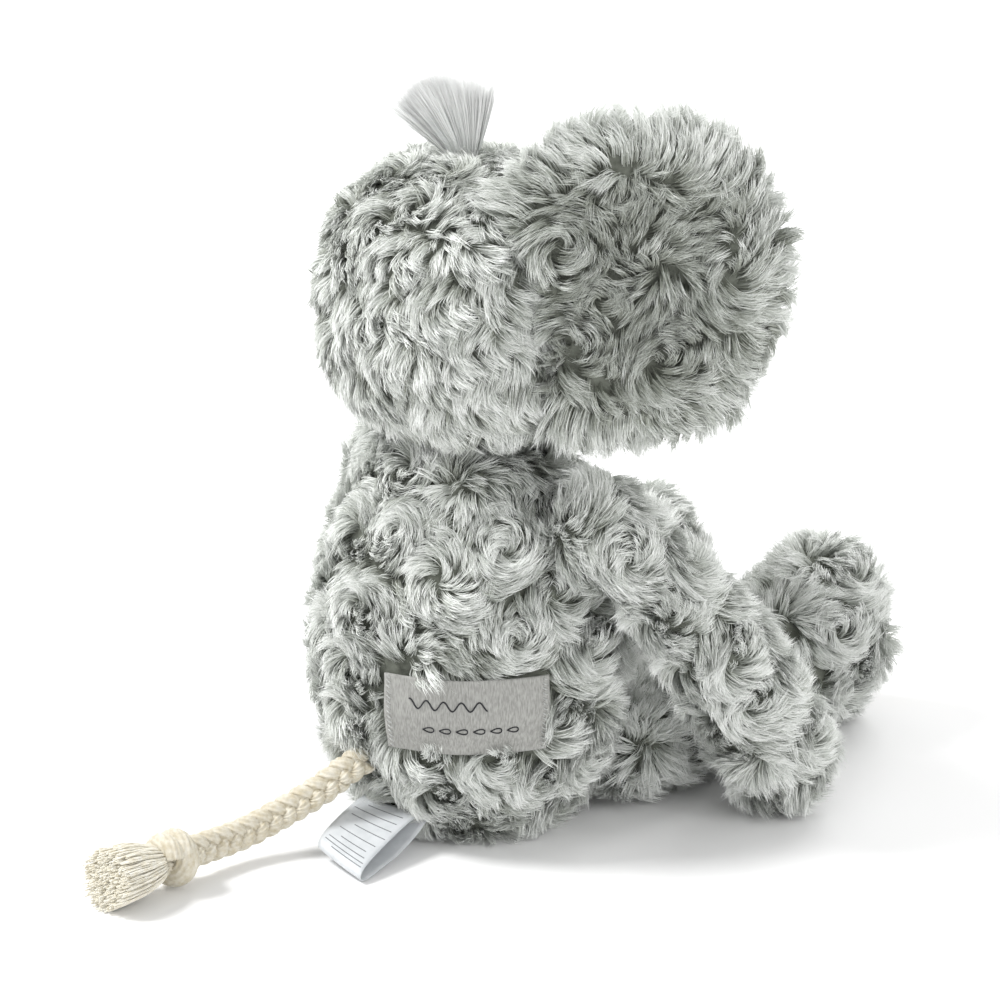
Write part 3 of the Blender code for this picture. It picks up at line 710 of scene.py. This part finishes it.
def frames_along(path, up):
    """Side and up directions at every point of a path."""
    run = unit(np.gradient(path, axis=0))
    side = unit(np.cross(run, up))
    return side, np.cross(side, run)


def distance_along(path):
    steps = np.linalg.norm(np.diff(path, axis=0), axis=1)
    return np.concatenate(([0.0], np.cumsum(steps)))


def yarn(path, radius, around, up=UPWARDS, ridges=0, depth=0.0, twist=0.0):
    """Points and quads of a capped tube with twisted ridges, as plied yarn has."""
    side, rise = frames_along(path, up)
    along = distance_along(path)
    radius = np.broadcast_to(radius, len(path))
    angle = np.arange(around) / around * 2.0 * math.pi
    rings = []
    for i in range(len(path)):
        size = radius[i] * (1.0 + depth * np.cos(ridges * angle + twist * along[i]))
        rings.append(
            path[i] + side[i] * (np.cos(angle) * size)[:, None]
            + rise[i] * (np.sin(angle) * size)[:, None])
    first = len(path) * around
    points = np.vstack((*rings, path[0], path[-1]))
    quads = ring_quads(len(path), around)
    last_ring = first - around
    for k in range(0, around, 2):
        m, n = (k + 1) % around, (k + 2) % around
        quads.append((first, n, m, k))
        quads.append((first + 1, last_ring + k, last_ring + m, last_ring + n))
    return points, np.array(quads)


def joined(parts):
    """Several point and quad sets as one."""
    points, quads, offset = [], [], 0
    for part_points, part_quads in parts:
        points.append(part_points)
        quads.append(part_quads + offset)
        offset += len(part_points)
    return np.vstack(points), np.vstack(quads)


# ---------------------------------------------------------------- rope tail
ROPE_POINTS = np.array((
    (10.3, 57.4, 26.1), (14.2, 64.3, 21.2), (21.2, 75.4, 14.6), (26.2, 89.5, 10.2),
    (28.2, 103.0, 9.6), (28.2, 113.4, 10.2))) * MM
PLAIT_PITCH = 17.0 * MM
PLAIT_WIDE = 3.1 * MM
PLAIT_TALL = 1.5 * MM
PLAIT_ROLL = math.radians(62.0)
PLY_RADIUS = 2.35 * MM
PLY_RIDGES = 8
PLY_DEPTH = 0.11            # of its radius
COTTON_TWIST = 1500.0       # radians a metre


def cotton(name, dark, light):
    """Undyed cotton: cream, slightly darker in patches, with a fine fibrous bump."""
    mat = plain_material(name, light, 0.85, 0.2)
    vector = object_coordinates(mat)
    mottle(mat, dark, light, 520.0, vector, 5.0, 0.3, 0.65)
    return relief(mat, noise_height(mat, 3200.0, vector, 4.0), 0.00025, 0.7)


COTTON = cotton("cotton_yarn", (196, 186, 161), (218, 213, 199))
FRAYED_COTTON = cotton("frayed_cotton", (222, 215, 195), (240, 237, 226))


def plait(centre, along):
    """Three plies that pass over each other like a flat braid."""
    side, rise = frames_along(centre, UPWARDS)
    broad = side * math.cos(PLAIT_ROLL) + rise * math.sin(PLAIT_ROLL)
    thin = rise * math.cos(PLAIT_ROLL) - side * math.sin(PLAIT_ROLL)
    plies = []
    for ply in range(3):
        phase = along / PLAIT_PITCH * 2.0 * math.pi + ply * 2.0 * math.pi / 3.0
        line = (
            centre + broad * (PLAIT_WIDE * np.sin(phase))[:, None]
            + thin * (PLAIT_TALL * np.sin(2.0 * phase))[:, None])
        plies.append(yarn(
            line, PLY_RADIUS, 42, UPWARDS, PLY_RIDGES, PLY_DEPTH, COTTON_TWIST))
    return joined(plies)


def plaited_rope():
    """The free part of the tail, from the seam to the knot."""
    centre = spline_through(ROPE_POINTS, 44)
    along = distance_along(centre)
    rope = quad_piece("rope_tail", *plait(centre, along), "tail", COTTON)
    return rope, centre, float(along[-1])


KNOT_LOOP = 5.6 * MM
KNOT_ADVANCE = 5.0 * MM     # along the rope in each turn
KNOT_YARN = 4.3 * MM
KNOT_MIDDLE = 0.6           # turns
KNOT_RIDGES, KNOT_DEPTH = 13, 0.07


def wrapped_knot():
    """The rope's end taken around itself and pulled tight."""
    middle = np.array((28.2, 121.4, 11.0)) * MM
    turns = np.linspace(-0.15, 1.35, 90)
    angle = turns * 2.0 * math.pi + 0.6
    loop = np.stack((
        middle[0] + KNOT_LOOP * np.cos(angle),
        middle[1] + (turns - KNOT_MIDDLE) * KNOT_ADVANCE,
        middle[2] + KNOT_LOOP * np.sin(angle)), axis=1)
    swell = KNOT_YARN * (1.0 - 0.35 * np.abs(turns - KNOT_MIDDLE) ** 2)
    wrap = yarn(loop, swell, 60, (0.0, 1.0, 0.0), KNOT_RIDGES, KNOT_DEPTH, COTTON_TWIST)
    core_line = np.linspace(
        np.array((28.2, 112.5, 10.3)), np.array((28.9, 131.0, 9.8)), 40) * MM
    core = yarn(core_line, 4.4 * MM, 60, UPWARDS, KNOT_RIDGES, KNOT_DEPTH, COTTON_TWIST)
    return quad_piece("rope_knot", *joined((wrap, core)), "tail", COTTON)


TASSEL_YARNS = 1150
TASSEL_NECK = 5.0           # mm, the tassel's half width at the knot
TASSEL_FLARE = (7.4, 5.2)   # mm that its half width and half height grow by
TASSEL_FLOOR = 0.8 * MM


def frayed_tassel():
    """Loose yarns that flare from the knot."""
    rng = np.random.default_rng(71)
    start = np.array((28.6, 126.6, 10.6)) * MM
    end = np.array((32.4, 149.0, 10.8)) * MM
    along = unit(end - start)
    flat = unit(np.cross(UPWARDS, along))
    up = np.cross(along, flat)
    share = np.linspace(0.0, 1.0, 9)
    wide, tall = ((TASSEL_NECK + flare * share ** 0.7) * MM for flare in TASSEL_FLARE)
    bulge = np.sin(share * math.pi) * 0.9 * MM
    parts = []
    for _ in range(TASSEL_YARNS):
        angle = rng.random() * 2.0 * math.pi
        reach = math.sqrt(rng.random())
        x, y = reach * math.cos(angle), reach * math.sin(angle)
        span = np.linalg.norm(end - start) * (rng.uniform(0.86, 1.04) - 0.12 * y)
        wave = np.sin(share * rng.uniform(5.0, 11.0) + rng.random() * 6.0) * 0.35 * MM
        line = (
            start + along * (share * span)[:, None]
            + flat * (x * (wide + bulge) + wave)[:, None]
            + up * (y * (tall + bulge) + wave)[:, None])
        line[:, 2] = np.maximum(line[:, 2], TASSEL_FLOOR)
        radius = rng.uniform(0.19, 0.32) * MM
        parts.append(yarn(line, radius, 6))
    return quad_piece("rope_tassel", *joined(parts), "tail", FRAYED_COTTON)


rope, rope_line, rope_length = plaited_rope()
knot = wrapped_knot()
tassel = frayed_tassel()
for piece, node in ((rope, "tail_rope"), (knot, "tail_knot"), (tassel, "tail_tassel")):
    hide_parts(node)


def rope_root():
    """The stub of rope that is caught in the seam."""
    line = spline_through(np.array((
        (5.4, 49.0, 31.8), (6.8, 51.4, 30.3), (8.5, 54.4, 28.4), (10.25, 57.3, 26.2))) * MM, 12)
    along = distance_along(line)
    stub = quad_piece("rope_root", *plait(line, along - along[-1]), "torso", COTTON)
    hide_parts("tail_root")


rope_root()


# ---------------------------------------------------------------- hair tuft
HAIR_ROOT = np.array((1.4, 1.2, 234.0)) * MM
HAIR_WIDE = np.array((0.76, 0.65, 0.0))     # across the fan
HAIR_THICK = np.array((-0.65, 0.76, 0.0))   # through it
HAIRS = 6400
HAIR_CLUMPS = 60
HAIR_LENGTH = 32.0          # mm, in the middle of the fan
HAIR_LEAN = 9.2             # mm that the tips lie to one side
HAIR_WIDTH = 0.30 * MM


def hair_tuft():
    """Fan of long straight hairs on the crown."""
    rng = np.random.default_rng(83)
    clump = rng.normal(size=(HAIR_CLUMPS, 2)) * (0.48, 0.4)
    pick = rng.integers(0, HAIR_CLUMPS, HAIRS)
    spot = np.clip(clump[pick] + rng.normal(size=(HAIRS, 2)) * 0.12, -1.0, 1.0)
    share = np.linspace(0.0, 1.0, 4)
    droop = np.where(spot[:, 0] > 0.0, 10.0, 3.0) * np.abs(spot[:, 0]) ** 1.5
    tall = (HAIR_LENGTH - droop) * rng.uniform(0.84, 1.04, HAIRS)
    strands = np.empty((HAIRS, 4, 3))
    for row, part in enumerate(share):
        fan = (3.2 + 15.5 * part ** 1.1) * spot[:, 0] + HAIR_LEAN * part ** 1.3
        deep = (2.4 + 2.6 * part) * spot[:, 1]
        strands[:, row] = (
            HAIR_ROOT + HAIR_WIDE * (fan * MM)[:, None] + HAIR_THICK * (deep * MM)[:, None]
            + UPWARDS * (tall * part * MM)[:, None])
    stray = rng.normal(size=(HAIRS, 1, 3)) * 0.45 * MM
    strands += stray * (share ** 1.5)[None, :, None]
    twist = rng.random(HAIRS) * math.pi
    across = HAIR_WIDE * np.cos(twist)[:, None] + HAIR_THICK * np.sin(twist)[:, None]
    tones = rng.integers(0, 3, HAIRS)
    mesh = ribbon_mesh("hair_tuft_fan", strands, across, np.full(HAIRS, HAIR_WIDTH), tones)
    fan = link_mesh("hair_tuft_fan", mesh, "head", HAIR)
    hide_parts("hair_tuft")


hair_tuft()


# ---------------------------------------------------------------- eyes, nose and mouth
def turned(name, profile, around, seat, axis, body, material):
    """Profile of (radius, height) in mm turned about an axis."""
    axis = unit(np.asarray(axis, float))
    side = unit(np.cross(axis, UPWARDS))
    rise = np.cross(side, axis)
    angle = np.arange(around) / around * 2.0 * math.pi
    rings = [
        seat + axis * (height * MM) + (
            side * np.cos(angle)[:, None] + rise * np.sin(angle)[:, None]) * (radius * MM)
        for radius, height in profile]
    quads = ring_quads(len(profile), around)
    return quad_piece(name, np.vstack(rings), quads, body, material)


def glossy_black():
    mat = plain_material("eye_plastic", (14, 12, 11), 0.06, 0.0, 0.6, 0.6)
    vector = object_coordinates(mat)
    return mottle(mat, (9, 8, 8), (20, 17, 15), 400.0, vector)


EYE_PLASTIC = glossy_black()
HEAD_AXES = np.array((47.8, 47.6, 48.5)) * MM
HEAD_POWER = 2.5
EYE_X = 15.5 * MM
EYE_Z = 197.0 * MM
FACE_LIFT = 2.35 * MM
EYE_PROFILE = (
    (0.02, 4.1), (0.9, 4.02), (1.9, 3.75), (2.9, 3.25), (3.8, 2.5), (4.5, 1.7), (4.9, 1.1),
    (5.0, 0.75), (4.9, 0.45), (4.4, 0.4), (1.8, 0.4), (1.8, -9.0), (0.02, -9.0))
for side, label in ((-1.0, "right"), (1.0, "left")):
    outer = HEAD_AXES + FACE_LIFT
    level = (EYE_X / outer[0]) ** HEAD_POWER + ((EYE_Z - HEAD_CENTRE[2]) / outer[2]) ** HEAD_POWER
    seat = np.array((side * EYE_X, -outer[1] * (1.0 - level) ** (1.0 / HEAD_POWER), EYE_Z))
    local = (seat - HEAD_CENTRE) / outer
    normal = np.sign(local) * np.abs(local) ** (HEAD_POWER - 1.0) / outer
    eye = turned("bead_eye_" + label, EYE_PROFILE, 48, seat, normal, "head", EYE_PLASTIC)
    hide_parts("eye_" + label)


def thread_material(name, dark, light, scale):
    mat = plain_material(name, light, 0.55, 0.2)
    vector = object_coordinates(mat, (1.0, 1.0, 0.15))
    mottle(mat, dark, light, scale, vector)
    return relief(mat, wave_height(mat, scale * 1.4, vector, 1.5), 0.0002, 0.8)


DARK_THREAD = thread_material("dark_thread", (24, 21, 19), (58, 52, 48), 900.0)


NOSE_STITCHES = 25


def embroidered_nose():
    """Satin stitches laid side by side over the nose."""
    centre = np.array((0.0, -63.6, 180.5)) * MM
    axes = np.array((7.0, 4.0, 5.0)) * MM
    parts = []
    for i in range(NOSE_STITCHES):
        x = (i + 0.5) / NOSE_STITCHES * 2.0 - 1.0
        half = math.sqrt(1.0 - x * x)
        angle = np.linspace(-0.5 * math.pi, 0.5 * math.pi, 13)
        line = np.stack((
            np.full(13, x * axes[0]), -np.cos(angle) * axes[1] * half * 0.92,
            np.sin(angle) * axes[2] * half * 0.94), axis=1) + centre
        parts.append(yarn(line, 0.36 * MM, 8, (1.0, 0.0, 0.0)))
    nose = quad_piece("nose_stitches", *joined(parts), "head", DARK_THREAD)
    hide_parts("nose")


MOUTH_TWIST = 0.33 * MM
MUZZLE_CENTRE = np.array((0.0, -49.6, 174.0))
MUZZLE_AXES = np.array((23.0, 14.5, 16.0))
MUZZLE_LIFT = 1.15          # mm from the muzzle to the thread


def embroidered_mouth():
    """Two plies of thread along the mouth."""
    axes = MUZZLE_AXES + MUZZLE_LIFT
    across = np.linspace(-8.4, 8.4, 61)
    drop = 166.0 + 0.045 * across ** 2
    level = (across / axes[0]) ** 2 + ((drop - MUZZLE_CENTRE[2]) / axes[2]) ** 2
    depth = MUZZLE_CENTRE[1] - axes[1] * np.sqrt(1.0 - level)
    line = np.stack((across, depth, drop), axis=1) * MM
    turn = np.linspace(0.0, 12.0 * math.pi, 61)
    parts = []
    for phase in (0.0, math.pi):
        ply = line.copy()
        ply[:, 2] += MOUTH_TWIST * np.cos(turn + phase)
        ply[:, 1] += MOUTH_TWIST * np.sin(turn + phase)
        parts.append(yarn(ply, 0.42 * MM, 8))
    mouth = quad_piece("mouth_stitches", *joined(parts), "head", DARK_THREAD)
    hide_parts("mouth_thread")


embroidered_nose()
embroidered_mouth()

# ---------------------------------------------------------------- patch
TORSO_PROFILE = np.array((
    (54.0, 76.0), (54.3, 69.0), (54.4, 62.0), (54.1, 55.0), (53.4, 48.0), (52.0, 41.0),
    (50.0, 34.0))) * MM
TORSO_BEND = 54.0 * MM      # radius that the patch bends round
PATCH_FACE = 2.4 * MM       # the patch's outer face, above the torso
STITCH_FACE = 2.65 * MM
MOTIF_FACE = 2.5 * MM
SIDE_STITCHES = 15


def twill():
    """Grey twill with fine diagonal ribs."""
    mat = plain_material("twill_weave", (140, 141, 138), 0.85, 0.2)
    ribs = object_coordinates(mat, (1.0, 1.0, 0.22), (0.0, math.radians(38.0), PATCH_AZIMUTH))
    mottle(mat, (134, 134, 130), (168, 168, 164), 1900.0, ribs, 2.0)
    return relief(mat, noise_height(mat, 2600.0, ribs, 2.0), 0.0002, 0.8)


def torso_point(across, height, lift):
    """Point over the torso's back at a distance across the patch and a height."""
    bumps = 0.35 * MM * np.sin(across * 190.0 + 1.0) + 0.3 * MM * np.sin(height * 260.0)
    radius = np.interp(-height, -TORSO_PROFILE[:, 1], TORSO_PROFILE[:, 0]) + lift + bumps
    angle = across / TORSO_BEND
    return (
        PATCH_OUT[None] * (radius * np.cos(angle))[:, None]
        + PATCH_ACROSS[None] * (radius * np.sin(angle))[:, None]
        + UPWARDS[None] * height[:, None])


def back_patch():
    """The patch, slightly puckered over the torso."""
    cols, rows = 61, 31
    u = np.linspace(-PATCH_HALF[0], PATCH_HALF[0], cols)
    v = np.linspace(-PATCH_HALF[1], PATCH_HALF[1], rows)
    grid_u, grid_v = (g.ravel() for g in np.meshgrid(u, v))
    points = torso_point(grid_u, PATCH_Z + grid_v, PATCH_FACE)
    outwards = [(a, d, c, b) for a, b, c, d in grid_quads(rows, cols)]
    patch = quad_piece("twill_patch", points, outwards, "torso", twill())
    thicken(patch, 0.7 * MM, -1.0)
    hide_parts("back_patch")
    return patch


WHITE_THREAD = thread_material("patch_thread", (176, 178, 175), (224, 226, 223), 1400.0)
RULE_INK = fibre_cloth("rule_ink", (118, 120, 122), (140, 142, 144), 900.0, 0.8)
MOTIF_INK = fibre_cloth("motif_ink", (30, 31, 34), (48, 49, 52), 900.0, 0.8)


def patch_stitches():
    """A row of short zigzag stitches down each short side."""
    made = []
    share = np.linspace(-1.0, 1.0, 7)
    for sign, label in ((-1.0, "right"), (1.0, "left")):
        parts = []
        for i in range(SIDE_STITCHES):
            height = PATCH_Z + (i / (SIDE_STITCHES - 1.0) - 0.5) * 25.5 * MM
            across = sign * (PATCH_HALF[0] - 1.8 * MM) + share * 0.75 * MM
            level = height + share * 0.5 * MM
            line = torso_point(across, level, STITCH_FACE)
            line -= PATCH_OUT * (share ** 2 * 0.5 * MM)[:, None]
            parts.append(yarn(line, 0.26 * MM, 6))
        row = quad_piece("patch_stitches_" + label, *joined(parts), "torso", WHITE_THREAD)
        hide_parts("patch_stitch_" + label)
        made.append(row)
    return made


MOTIF_ROW = 4.6 * MM        # above and below the patch's middle
WAVE_HEIGHT = 1.6 * MM
WAVE_LENGTH = 26.0 / 4.5 * MM


def patch_motif():
    """A plain wave above a row of small leaves."""
    across = np.linspace(19.0, -7.0, 120) * MM
    level = PATCH_Z + MOTIF_ROW + WAVE_HEIGHT * np.sin(across / WAVE_LENGTH * 2.0 * math.pi)
    parts = [yarn(torso_point(across, level, MOTIF_FACE), 0.28 * MM, 6)]
    turn = np.linspace(0.0, 2.0 * math.pi, 25)
    for leaf in range(6):
        u = (12.5 - leaf * 5.6) * MM + 1.9 * MM * np.cos(turn)
        v = PATCH_Z - MOTIF_ROW + 1.25 * MM * np.sin(turn) * np.sin(turn / 2.0) ** 1.2
        parts.append(yarn(torso_point(u, v, MOTIF_FACE), 0.24 * MM, 6))
    motif = quad_piece("patch_motif", *joined(parts), "torso", MOTIF_INK)
    return motif


patch = back_patch()
stitches = patch_stitches()
motif = patch_motif()


# ---------------------------------------------------------------- care label
LABEL_ROOT = np.array((-0.6, 42.2, 12.0)) * MM
LABEL_TIP = np.array((-4.2, 74.5, 3.4)) * MM
LABEL_HALF = 12.0 * MM
LABEL_SKEW = 3.0 * MM       # of the lower layer, to one side


def satin():
    """White satin with a faint close warp."""
    mat = plain_material("label_satin", (206, 209, 212), 0.38, 0.1, 0.6)
    vector = object_coordinates(mat, (1.0, 1.0, 0.3))
    mottle(mat, (198, 202, 205), (212, 215, 218), 240.0, vector)
    return relief(mat, wave_height(mat, 1500.0, vector, 0.3), 0.00006, 0.5)


def label_rules(grid):
    """Faint grey rules across the top layer, of uneven length, where small print would be."""
    rng = np.random.default_rng(97)
    parts = []
    for row in grid[4:30:3]:
        first, last = rng.uniform(0.8, 2.2), rng.uniform(8.0, 11.2)
        place = np.linspace(first, last, 16)
        columns = np.arange(len(row))
        line = np.stack([np.interp(place, columns, row[:, i]) for i in range(3)], axis=1)
        parts.append(yarn(line + UPWARDS * 0.2 * MM, 0.16 * MM, 6))
    rules = quad_piece("label_rules", *joined(parts), "torso", RULE_INK)
    return rules


def care_label():
    """A satin strip folded over into a loop, with faint plain rules for its small print."""
    run = LABEL_TIP - LABEL_ROOT
    reach = np.linalg.norm(run)
    run = unit(run)
    across = unit(np.array((run[1], -run[0], 0.0)))
    top = [(0.0, 1.4), (0.25, 2.4), (0.5, 2.9), (0.75, 2.9), (0.9, 2.6), (0.98, 1.9)]
    fold = [(1.02, 0.7), (1.0, -0.9)]
    under = [(0.9, -1.9), (0.7, -2.6), (0.45, -3.4), (0.2, -2.6), (0.0, -0.6)]
    profile = spline_through([(t * reach, h * MM, 0.0) for t, h in top + fold + under], 6)
    centre = LABEL_ROOT + run * profile[:, :1] + UPWARDS * profile[:, 1:2]
    centre[:, 2] = np.maximum(centre[:, 2], 0.5 * MM)
    rows, cols = len(centre), 13
    share = np.linspace(-1.0, 1.0, cols)
    skew = np.linspace(0.0, -1.0, rows)[:, None] * LABEL_SKEW
    slant = -0.34 * share[None, :] * LABEL_HALF * (profile[:, :1] / reach)
    lift = (0.4 * share ** 2 + 0.6 * share)[None, :] * MM
    points = (
        centre[:, None] + across * (share * LABEL_HALF + skew)[..., None]
        + run * slant[..., None] + UPWARDS * lift[..., None]).reshape(-1, 3)
    points[:, 2] = np.maximum(points[:, 2], 0.4 * MM)
    label = quad_piece("satin_label", points, grid_quads(rows, cols), "torso", satin())
    thicken(label, 0.22 * MM, 0.0)
    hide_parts("care_label")
    rules = label_rules(points.reshape(rows, cols, 3))


care_label()

# ---------------------------------------------------------------- carried-over CAD nodes
WASHER = plain_material("washer_plastic", (226, 226, 220), 0.4)
mottle(WASHER, (214, 214, 208), (234, 234, 230), 300.0, object_coordinates(WASHER))
CARRIED = {
    "pellet_bag": PELLET_CLOTH, "torso_stuffing": STUFFING, "head_stuffing": STUFFING,
    "neck_core": BACKING_WITH_PAINTED_SHADE, "ear_root_right": BACKING_WITH_PAINTED_SHADE, "ear_root_left": BACKING_WITH_PAINTED_SHADE,
    "eye_washer_right": WASHER, "eye_washer_left": WASHER, "arm_stuffing_right": STUFFING,
    "arm_stuffing_left": STUFFING, "leg_stuffing_right": STUFFING, "leg_stuffing_left": STUFFING}
for node, material in CARRIED.items():
    NODES[node].data.materials.clear()
    NODES[node].data.materials.append(material)


# ---------------------------------------------------------------- studio
FLOOR_HALF = 6.0
LIT_POINT = Vector((0.0, 0.0, 0.1))


def floor():
    mesh = bpy.data.meshes.new("floor")
    signs = ((-1, -1), (1, -1), (1, 1), (-1, 1))
    corners = [(x * FLOOR_HALF, y * FLOOR_HALF, 0.0) for x, y in signs]
    mesh.from_pydata(corners, [], [(0, 1, 2, 3)])
    ob = bpy.data.objects.new("floor", mesh)
    bpy.context.scene.collection.objects.link(ob)
    mesh.materials.append(plain_material("floor_paint", (244, 244, 244), 0.7, 0.0, 0.2))


def soft_light(name, place, size, power):
    data = bpy.data.lights.new(name, "AREA")
    data.shape = "DISK"
    data.size = size
    data.energy = power
    lamp = bpy.data.objects.new(name, data)
    lamp.location = place
    lamp.rotation_euler = (LIT_POINT - Vector(place)).to_track_quat("-Z", "Y").to_euler()
    bpy.context.scene.collection.objects.link(lamp)


def studio():
    floor()
    soft_light("key", (1.22, 1.0, 1.9), 0.8, 54.0)
    soft_light("fill", (-1.8, 0.3, 1.2), 1.4, 12.0)
    soft_light("front", (0.4, -1.8, 1.3), 1.4, 21.0)
    world = bpy.data.worlds.new("studio")
    world.use_nodes = True
    sky = world.node_tree.nodes["Background"]
    sky.inputs["Color"].default_value = (1.0, 1.0, 1.0, 1.0)
    sky.inputs["Strength"].default_value = 0.74
    bpy.context.scene.world = world
    bpy.context.scene.view_settings.view_transform = "Standard"


studio()
